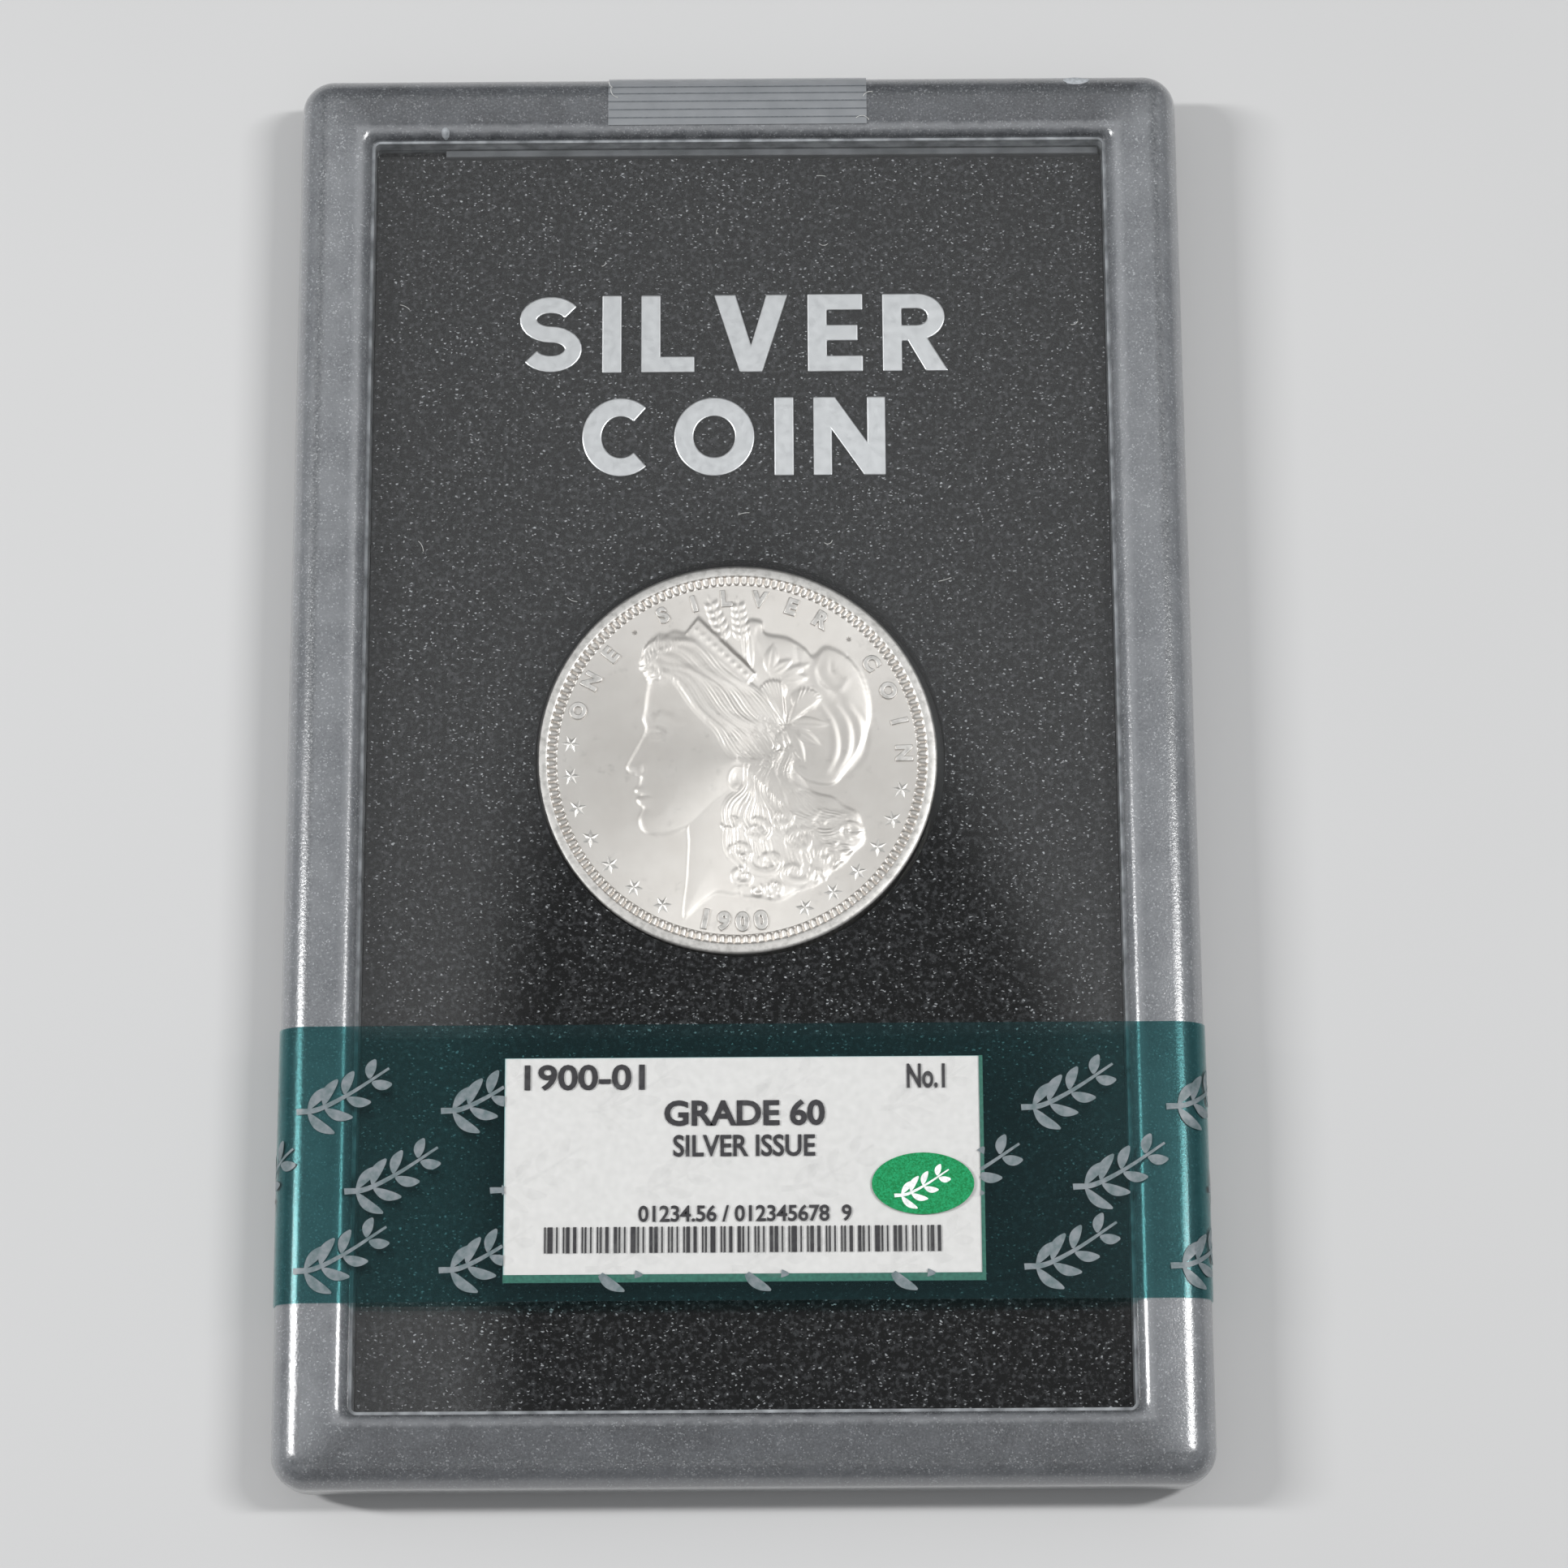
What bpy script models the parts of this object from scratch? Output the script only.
"""Graded coin slab: two clear shells, a black insert, a loose coin, and the stickers that seal them.

The slab lies face up. +X is its right, +Y its top end, +Z points out of its front.
The origin is at the bottom centre of the whole object. Sizes below are in millimetres.
"""

import math

import bmesh
import bpy

MM = 0.001

# Driving dimensions.
COIN_D = 38.1
COIN_T = 2.4
SLAB_W = 86.0
SLAB_L = 137.6
SLAB_T = 9.5
CAVITY_W = 71.3
CAVITY_L = 123.7
CAVITY_T = 3.5

# Shells.
CORNER_R = 3.2
EDGE_R = 3.0
RECESS = 1.4
WINDOW_MARGIN = 0.25
CAVITY_CORNER_R = 0.5
CORNER_STEPS = 5
ROUND_STEPS = 5
SEAM_GAP = 0.05
TONGUE_INSET = 2.9
TONGUE_W = 1.4
TONGUE_H = 0.8
TONGUE_PLAY = 0.1

# Insert, its hole and its lettering.
INSERT_W = 71.1
INSERT_L = 123.5
INSERT_T = 2.9
INSERT_PLAY = 0.05
STEP_DEPTH = 0.75
INSERT_STEP_W = 6.6
HOLE_D = 39.0
HOLE_XY = (-0.10, 0.10)
COIN_XY = (-0.40, 0.05)
COIN_PLAY = 0.1
COIN_RIM_W = 1.15
COIN_RIM_SLOPE = 0.75
COIN_RIM_H = 0.35
COIN_EDGE_ROUND = 0.15
CIRCLE_STEPS = 96
LETTER_H = 8.0
LETTER_T = 0.3
LETTER_GAP = 1.9
LETTER_ARC_STEPS = 18
EDGE_BEVEL = 0.12
LINE_CENTRE_X = -0.6
TITLE_LINES = (("SILVER", 38.6), ("COIN", 28.0))
GLUE_GAP = 0.05

# Stickers: the film band round the slab, its label and oval, and the tape over the top end.
STICKER_GAP = 0.05
STICKER_T = 0.10
BAND_Y = (-52.1, -26.5)
LABEL_SIZE = (44.1, 20.8)
LABEL_XY = (0.15, -40.0)
OVAL_SIZE = (9.4, 5.7)
OVAL_XY = (16.55, -41.5)
OVAL_STEPS = 48
TAPE_W = 25.3
TAPE_REACH = 5.75
TAPE_X = -0.1

# Derived positions. The band and the tape lie under the rear frame, so the frame starts above z = 0.
BACK_Z = STICKER_GAP + STICKER_T
FRONT_Z = BACK_Z + SLAB_T
SEAM_Z = BACK_Z + SLAB_T / 2
FLOOR_Z = SEAM_Z - CAVITY_T / 2
INSERT_Z = (FLOOR_Z + INSERT_PLAY, FLOOR_Z + INSERT_PLAY + INSERT_T)
COIN_Z = (FLOOR_Z + COIN_PLAY, FLOOR_Z + COIN_PLAY + COIN_T)
SLAB_Y = -(STICKER_GAP + STICKER_T) / 2

COLOURS = {
    "front_shell": ((0.62, 0.65, 0.68, 0.35), 0.35, 0.0),
    "rear_shell": ((0.62, 0.65, 0.68, 0.35), 0.35, 0.0),
    "insert": ((0.030, 0.031, 0.034, 1.0), 0.55, 0.0),
    "coin": ((0.80, 0.79, 0.77, 1.0), 0.28, 1.0),
    "letter": ((0.72, 0.73, 0.74, 1.0), 0.30, 1.0),
    "grade_label": ((0.88, 0.88, 0.86, 1.0), 0.60, 0.0),
    "grading_band": ((0.010, 0.075, 0.065, 0.80), 0.25, 0.0),
    "approval_sticker": ((0.010, 0.30, 0.09, 1.0), 0.35, 0.4),
    "seal_tape": ((0.55, 0.58, 0.60, 0.40), 0.30, 0.0),
}


def clear_scene():
    for old in list(bpy.data.objects):
        bpy.data.objects.remove(old, do_unlink=True)


def make_material(name, look):
    """A Principled material with the piece's colour, roughness and metallic value."""
    colour, roughness, metallic = COLOURS[look]
    material = bpy.data.materials.new(name + "_material")
    material.use_nodes = True
    shader = material.node_tree.nodes["Principled BSDF"]
    shader.inputs["Base Color"].default_value = colour[:3] + (1.0,)
    shader.inputs["Alpha"].default_value = colour[3]
    shader.inputs["Roughness"].default_value = roughness
    shader.inputs["Metallic"].default_value = metallic
    return material


def add_object(name, bm, look, parent):
    """Finish a bmesh in millimetres as a smooth-shaded object in metres."""
    bmesh.ops.scale(bm, vec=(MM, MM, MM), verts=bm.verts)
    bmesh.ops.recalc_face_normals(bm, faces=bm.faces)
    mesh = bpy.data.meshes.new(name)
    bm.to_mesh(mesh)
    bm.free()
    mesh.shade_smooth()
    mesh.set_sharp_from_angle(angle=math.radians(30))
    mesh.materials.append(make_material(name, look))
    piece = bpy.data.objects.new(name, mesh)
    piece.parent = parent
    bpy.context.collection.objects.link(piece)
    return piece


def bevel_edges(piece):
    """Break the sharp edges of a moulded piece; curves of short straight runs stay as they are."""
    bevel = piece.modifiers.new("edges", "BEVEL")
    bevel.width = EDGE_BEVEL * MM
    bevel.segments = 2
    bevel.limit_method = "ANGLE"
    bevel.angle_limit = math.radians(60)


def loft(loops, ring=False):
    """Skin a row of equal-length closed loops; a ring joins last to first, others get end caps."""
    bm = bmesh.new()
    rows = [[bm.verts.new(point) for point in loop] for loop in loops]
    pairs = list(zip(rows, rows[1:]))
    if ring:
        pairs.append((rows[-1], rows[0]))
    for low, high in pairs:
        for i in range(len(low)):
            j = (i + 1) % len(low)
            bm.faces.new((low[i], low[j], high[j], high[i]))
    if not ring:
        bm.faces.new(rows[0])
        bm.faces.new(rows[-1])
    return bm


def plate(outline, holes, z_low, z_high):
    """A flat plate with holes, from outlines in x and y."""
    bm = bmesh.new()
    edges = []
    for loop in [outline] + holes:
        verts = [bm.verts.new((x, y, z_low)) for x, y in loop]
        for i, vert in enumerate(verts):
            edges.append(bm.edges.new((vert, verts[(i + 1) % len(verts)])))
    bmesh.ops.triangle_fill(bm, use_beauty=True, use_dissolve=False, edges=edges)
    raised = bmesh.ops.extrude_face_region(bm, geom=list(bm.faces))["geom"]
    top = [item for item in raised if isinstance(item, bmesh.types.BMVert)]
    bmesh.ops.translate(bm, vec=(0, 0, z_high - z_low), verts=top)
    return bm


def arc(centre, radii, start, end, steps):
    """Points along an ellipse's arc, angles in degrees, both ends included."""
    points = []
    for i in range(steps + 1):
        angle = math.radians(start + (end - start) * i / steps)
        points.append((centre[0] + radii[0] * math.cos(angle), centre[1] + radii[1] * math.sin(angle)))
    return points


def ellipse(centre, radii, steps):
    return arc(centre, radii, 0, 360, steps)[:-1]


def rounded_rectangle(width, length, radius):
    """A rectangle centred on the slab, with round corners."""
    points = []
    for sign_x, sign_y, start in ((1, 1, 0), (-1, 1, 90), (-1, -1, 180), (1, -1, 270)):
        centre = (sign_x * (width / 2 - radius), sign_y * (length / 2 - radius))
        points += arc(centre, (radius, radius), start, start + 90, CORNER_STEPS)
    return points


def at_height(outline, z):
    return [(x, y, z) for x, y in outline]


def outer_loop(inset, z):
    """The slab's outline, moved inwards."""
    radius = max(CORNER_R - inset, CAVITY_CORNER_R)
    return at_height(rounded_rectangle(SLAB_W - 2 * inset, SLAB_L - 2 * inset, radius), z)


def inner_loop(margin, z):
    """The cavity's outline, moved outwards."""
    outline = rounded_rectangle(CAVITY_W + 2 * margin, CAVITY_L + 2 * margin, CAVITY_CORNER_R + margin)
    return at_height(outline, z)


def shell_loops(tongue_height, tongue_play):
    """One shell as a tray, heights measured outwards from the seam: window, frame, joint, cavity."""
    half = SLAB_T / 2
    window = half - RECESS
    loops = []
    for i in range(ROUND_STEPS + 1):
        angle = math.radians(90 * i / ROUND_STEPS)
        margin = WINDOW_MARGIN + RECESS * (1 - math.cos(angle))
        loops.append(inner_loop(margin, window + RECESS * math.sin(angle)))
    for i in range(ROUND_STEPS + 1):
        angle = math.radians(90 - 90 * i / ROUND_STEPS)
        loops.append(outer_loop(EDGE_R * (1 - math.cos(angle)), half - EDGE_R + EDGE_R * math.sin(angle)))
    seam = SEAM_GAP / 2
    outer = TONGUE_INSET - tongue_play
    inner = TONGUE_INSET + TONGUE_W + tongue_play
    loops.append(outer_loop(0, seam))
    loops.append(outer_loop(outer, seam))
    loops.append(outer_loop(outer, seam + tongue_height))
    loops.append(outer_loop(inner, seam + tongue_height))
    loops.append(outer_loop(inner, seam))
    loops.append(inner_loop(0, seam))
    loops.append(inner_loop(0, CAVITY_T / 2))
    return loops


def build_shells(parent):
    """The front shell has the groove, and the rear shell has the tongue that stands in it."""
    front = shell_loops(TONGUE_H + TONGUE_PLAY, TONGUE_PLAY)
    front = [[(x, y, SEAM_Z + z) for x, y, z in loop] for loop in front]
    rear = shell_loops(-TONGUE_H, 0)
    rear = [[(x, y, SEAM_Z - z) for x, y, z in loop] for loop in rear]
    add_object("front_shell", loft(front), "front_shell", parent)
    add_object("rear_shell", loft(rear), "rear_shell", parent)


def build_insert(parent):
    """A plate with the coin's hole, its top edge stepped down to the right of a tab."""
    half_w = INSERT_W / 2
    half_l = INSERT_L / 2
    tab_x = INSERT_STEP_W - half_w
    lowered = half_l - STEP_DEPTH
    round_to = (CAVITY_CORNER_R, CAVITY_CORNER_R)
    outline = arc((half_w - CAVITY_CORNER_R, lowered - CAVITY_CORNER_R), round_to, 0, 90, CORNER_STEPS)
    outline += [(tab_x, lowered), (tab_x, half_l)]
    for sign_y, start in ((1, 90), (-1, 180)):
        centre = (CAVITY_CORNER_R - half_w, sign_y * (half_l - CAVITY_CORNER_R))
        outline += arc(centre, round_to, start, start + 90, CORNER_STEPS)
    outline += arc((half_w - CAVITY_CORNER_R, CAVITY_CORNER_R - half_l), round_to, 270, 360, CORNER_STEPS)
    hole = ellipse(HOLE_XY, (HOLE_D / 2, HOLE_D / 2), CIRCLE_STEPS)
    bevel_edges(add_object("insert", plate(outline, [hole], *INSERT_Z), "insert", parent))


def build_coin(parent):
    """A turned disc with a raised rim on both faces, its origin on the axis that it turns about."""
    radius = COIN_D / 2
    low, high = COIN_Z
    profile = [
        (radius - COIN_RIM_W - COIN_RIM_SLOPE, low + COIN_RIM_H),
        (radius - COIN_RIM_W, low),
        (radius - COIN_EDGE_ROUND, low),
        (radius, low + COIN_EDGE_ROUND),
        (radius, high - COIN_EDGE_ROUND),
        (radius - COIN_EDGE_ROUND, high),
        (radius - COIN_RIM_W, high),
        (radius - COIN_RIM_W - COIN_RIM_SLOPE, high - COIN_RIM_H),
    ]
    axis = bpy.data.objects.new("coin_axis", None)
    axis.parent = parent
    axis.location = (COIN_XY[0] * MM, COIN_XY[1] * MM, 0)
    bpy.context.collection.objects.link(axis)
    loops = [at_height(ellipse((0, 0), (r, r), CIRCLE_STEPS), z) for r, z in profile]
    add_object("coin", loft(loops), "coin", axis)


def ribbon(path, width, z_low, z_high, ring=False):
    """A flat stroke of constant width along a path in x and y."""
    stations = []
    for i, (x, y) in enumerate(path):
        before = path[i - 1] if ring or i > 0 else path[i]
        after = path[(i + 1) % len(path)] if ring or i < len(path) - 1 else path[i]
        run = (after[0] - before[0], after[1] - before[1])
        scale = width / 2 / math.hypot(*run)
        side = (-run[1] * scale, run[0] * scale)
        left = (x + side[0], y + side[1])
        right = (x - side[0], y - side[1])
        stations.append([(*left, z_low), (*right, z_low), (*right, z_high), (*left, z_high)])
    return loft(stations, ring)


def letter_strokes(letter):
    """The centre line of a letter that is one stroke: its points, its stroke width, and if it closes."""
    stem = 1.9
    half = stem / 2
    reach = LETTER_H / 2 - half
    steps = LETTER_ARC_STEPS
    if letter == "I":
        return [(half, 0), (half, LETTER_H)], stem, False
    if letter == "C":
        return arc((3.75, LETTER_H / 2), (2.8, reach), 48, 312, 2 * steps), stem, False
    if letter == "O":
        return ellipse((3.9, LETTER_H / 2), (2.95, reach), 3 * steps), stem, True
    lobe = reach / 2
    upper = arc((3.1, LETTER_H / 2 + lobe), (2.2, lobe), 28, 270, steps)
    lower = arc((3.1, LETTER_H / 2 - lobe), (2.2, lobe), 90, -152, steps)
    return upper + lower[1:], 1.7, False


def letter_outline(letter):
    """The outline of a letter with corners, and its holes."""
    top = LETTER_H
    stem = 1.9
    bar = 1.65
    middle = (top - bar) / 2
    if letter == "L":
        return [(0, 0), (5.2, 0), (5.2, bar), (stem, bar), (stem, top), (0, top)], []
    if letter == "V":
        return [(2.5, 0), (4.7, 0), (7.2, top), (5.1, top), (3.6, 2.8), (2.1, top), (0, top)], []
    if letter == "N":
        diagonal = [(4.9, 0), (7.0, 0), (7.0, top), (5.2, top), (5.2, 3.4), (2.1, top), (0, top)]
        return [(0, 0), (1.8, 0), (1.8, 4.6)] + diagonal, []
    if letter == "E":
        foot = [(0, 0), (5.4, 0), (5.4, bar), (stem, bar), (stem, middle), (4.9, middle)]
        head = [(4.9, middle + bar), (stem, middle + bar), (stem, top - bar), (5.4, top - bar), (5.4, top)]
        return foot + head + [(0, top)], []
    bowl_y = 5.6
    bowl = arc((3.4, bowl_y), (2.7, top - bowl_y), -68, 90, LETTER_ARC_STEPS)
    leg = [(0, 0), (stem, 0), (stem, 3.1), (2.5, 3.1), (4.2, 0), (6.4, 0)]
    counter = arc((3.4, bowl_y), (1.0, 0.85), -90, 90, LETTER_ARC_STEPS // 2)
    counter += [(stem, bowl_y + 0.85), (stem, bowl_y - 0.85)]
    return leg + bowl + [(0, top)], [counter]


LETTER_WIDTHS = {"S": 6.2, "I": 1.9, "L": 5.2, "V": 7.2, "E": 5.4, "R": 6.4, "C": 7.0, "O": 7.8, "N": 7.0}


def build_letter(letter, name, x, y, parent):
    z_low = INSERT_Z[1] + GLUE_GAP
    z_high = z_low + LETTER_T
    if letter in "ISCO":
        path, width, ring = letter_strokes(letter)
        bm = ribbon(path, width, z_low, z_high, ring)
    else:
        outline, holes = letter_outline(letter)
        bm = plate(outline, holes, z_low, z_high)
    bmesh.ops.translate(bm, vec=(x, y, 0), verts=bm.verts)
    bevel_edges(add_object(name, bm, "letter", parent))


def build_title(parent):
    """Raised letters in two centred lines, each letter its own solid."""
    for row, (word, y) in enumerate(TITLE_LINES, start=1):
        length = sum(LETTER_WIDTHS[letter] for letter in word) + LETTER_GAP * (len(word) - 1)
        x = LINE_CENTRE_X - length / 2
        for place, letter in enumerate(word, start=1):
            build_letter(letter, f"letter_{row}_{place}_{letter.lower()}", x, y, parent)
            x += LETTER_WIDTHS[letter] + LETTER_GAP


def side_profile(offset, half_width):
    """The slab's right side from rear to front, moved outwards: distance from the middle, and height."""
    radius = EDGE_R + offset
    reach = half_width - EDGE_R
    lower = arc((reach, BACK_Z + EDGE_R), (radius, radius), -90, 0, ROUND_STEPS)
    upper = arc((reach, FRONT_Z - EDGE_R), (radius, radius), 0, 90, ROUND_STEPS)
    return lower + upper


def build_band(parent):
    """A closed loop of film, tight round the frame and flat across both windows."""
    loops = []
    for offset, y in ((STICKER_GAP, 0), (STICKER_GAP, 1), (BACK_Z, 1), (BACK_Z, 0)):
        right = side_profile(offset, SLAB_W / 2)
        left = [(-x, z) for x, z in reversed(right)]
        loops.append([(x, BAND_Y[y], z) for x, z in right + left])
    add_object("grading_band", loft(loops, ring=True), "grading_band", parent)


def build_label(parent):
    """A paper label stuck under the band, over the front window."""
    outline = []
    for sign_x, sign_y in ((-1, -1), (1, -1), (1, 1), (-1, 1)):
        x = LABEL_XY[0] + sign_x * LABEL_SIZE[0] / 2
        outline.append((x, LABEL_XY[1] + sign_y * LABEL_SIZE[1] / 2))
    top = FRONT_Z
    add_object("grade_label", plate(outline, [], top - STICKER_T, top), "grade_label", parent)


def build_oval(parent):
    z_low = FRONT_Z + BACK_Z + STICKER_GAP
    outline = ellipse(OVAL_XY, (OVAL_SIZE[0] / 2, OVAL_SIZE[1] / 2), OVAL_STEPS)
    add_object("approval_sticker", plate(outline, [], z_low, z_low + STICKER_T), "approval_sticker", parent)


def build_seal_tape(parent):
    """A strip folded over the top end, from the rear frame to the front frame."""
    stations = []
    flap = SLAB_L / 2 - TAPE_REACH
    paths = []
    for offset in (STICKER_GAP, BACK_Z):
        path = side_profile(offset, SLAB_L / 2)
        paths.append([(flap, path[0][1])] + path + [(flap, path[-1][1])])
    left = TAPE_X - TAPE_W / 2
    right = TAPE_X + TAPE_W / 2
    for (y_in, z_in), (y_out, z_out) in zip(*paths):
        stations.append([(left, y_in, z_in), (right, y_in, z_in), (right, y_out, z_out), (left, y_out, z_out)])
    add_object("seal_tape", loft(stations), "seal_tape", parent)


def build_slab():
    clear_scene()
    slab = bpy.data.objects.new("slab", None)
    slab.location = (0, SLAB_Y * MM, 0)
    bpy.context.collection.objects.link(slab)
    build_shells(slab)
    build_insert(slab)
    build_coin(slab)
    build_title(slab)
    build_band(slab)
    build_label(slab)
    build_oval(slab)
    build_seal_tape(slab)


build_slab()
